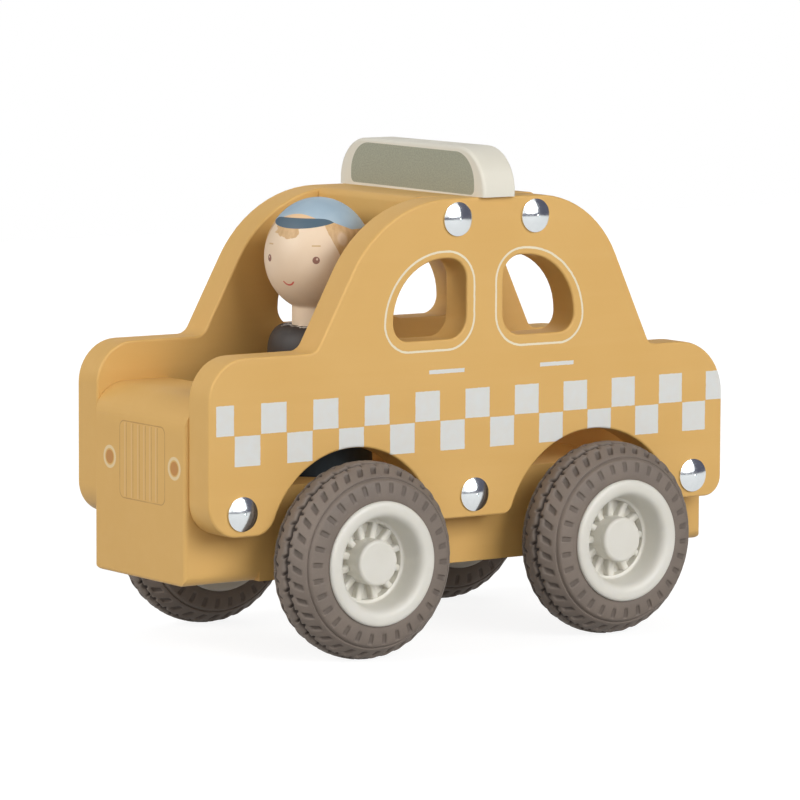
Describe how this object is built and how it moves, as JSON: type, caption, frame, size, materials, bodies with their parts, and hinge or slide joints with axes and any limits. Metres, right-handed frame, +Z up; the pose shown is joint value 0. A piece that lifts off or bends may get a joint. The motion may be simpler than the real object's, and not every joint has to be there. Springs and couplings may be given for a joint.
{
  "type": "toy taxi",
  "caption": "Wooden push-along toy taxi with side panels on tie rods, free-rolling wheelsets, a roof sign and a peg driver that turns and lifts out.",
  "frame": {"origin": "on the ground under the middle of the car, at the bottom centre of its bounding box", "axes": "+X towards the car's left side, -Y towards its front, +Z up"},
  "size_m": [0.0974, 0.1736, 0.1347],
  "materials": {
    "panel_wood": "satin yellow lacquer",
    "block_wood": "satin yellow lacquer",
    "sign_wood": "satin cream lacquer",
    "dowel_wood": "bare",
    "rod_steel": "drawn",
    "cap_chrome": "polished",
    "rim_plastic": "cream, moulded",
    "tyre_rubber": "matte, with a moulded tread",
    "driver_dark": "satin paint",
    "driver_skin": "satin paint"
  },
  "bodies": {
    "car_body": {"left_side_panel": "panel_wood", "right_side_panel": "panel_wood", "front_block": "block_wood", "rear_block": "block_wood", "floor_board": "block_wood", "roof_board": "block_wood", "roof_sign": "sign_wood", "left_sign_dowel": "dowel_wood", "right_sign_dowel": "dowel_wood", "front_tie_rod": "rod_steel", "middle_tie_rod": "rod_steel", "rear_tie_rod": "rod_steel", "roof_front_tie_rod": "rod_steel", "roof_rear_tie_rod": "rod_steel", "left_front_dome_cap": "cap_chrome", "left_middle_dome_cap": "cap_chrome", "left_rear_dome_cap": "cap_chrome", "left_roof_front_dome_cap": "cap_chrome", "left_roof_rear_dome_cap": "cap_chrome", "right_front_dome_cap": "cap_chrome", "right_middle_dome_cap": "cap_chrome", "right_rear_dome_cap": "cap_chrome", "right_roof_front_dome_cap": "cap_chrome", "right_roof_rear_dome_cap": "cap_chrome"},
    "front_wheelset": {"front_axle": "rod_steel", "left_front_rim": "rim_plastic", "right_front_rim": "rim_plastic", "left_front_tyre": "tyre_rubber", "right_front_tyre": "tyre_rubber", "left_front_hub_cap": "rim_plastic", "right_front_hub_cap": "rim_plastic"},
    "rear_wheelset": {"rear_axle": "rod_steel", "left_rear_rim": "rim_plastic", "right_rear_rim": "rim_plastic", "left_rear_tyre": "tyre_rubber", "right_rear_tyre": "tyre_rubber", "left_rear_hub_cap": "rim_plastic", "right_rear_hub_cap": "rim_plastic"},
    "driver_core": {"driver_dowel": "dowel_wood"},
    "driver": {"driver_body": "driver_dark", "driver_head": "driver_skin"}
  },
  "joints": [
    {"name": "front_wheels_roll", "type": "hinge", "parent": "car_body", "child": "front_wheelset", "pos_m": [0, -0.0408, 0.0266], "axis": [1, 0, 0], "continuous": true},
    {"name": "rear_wheels_roll", "type": "hinge", "parent": "car_body", "child": "rear_wheelset", "pos_m": [0, 0.0408, 0.0266], "axis": [1, 0, 0], "continuous": true},
    {"name": "driver_lift", "type": "slide", "parent": "car_body", "child": "driver_core", "axis": [0, 0, 1], "range_m": [0, 0.09]},
    {"name": "driver_turn", "type": "hinge", "parent": "driver_core", "child": "driver", "pos_m": [0, -0.029, 0.0359], "axis": [0, 0, 1], "continuous": true}
  ]
}
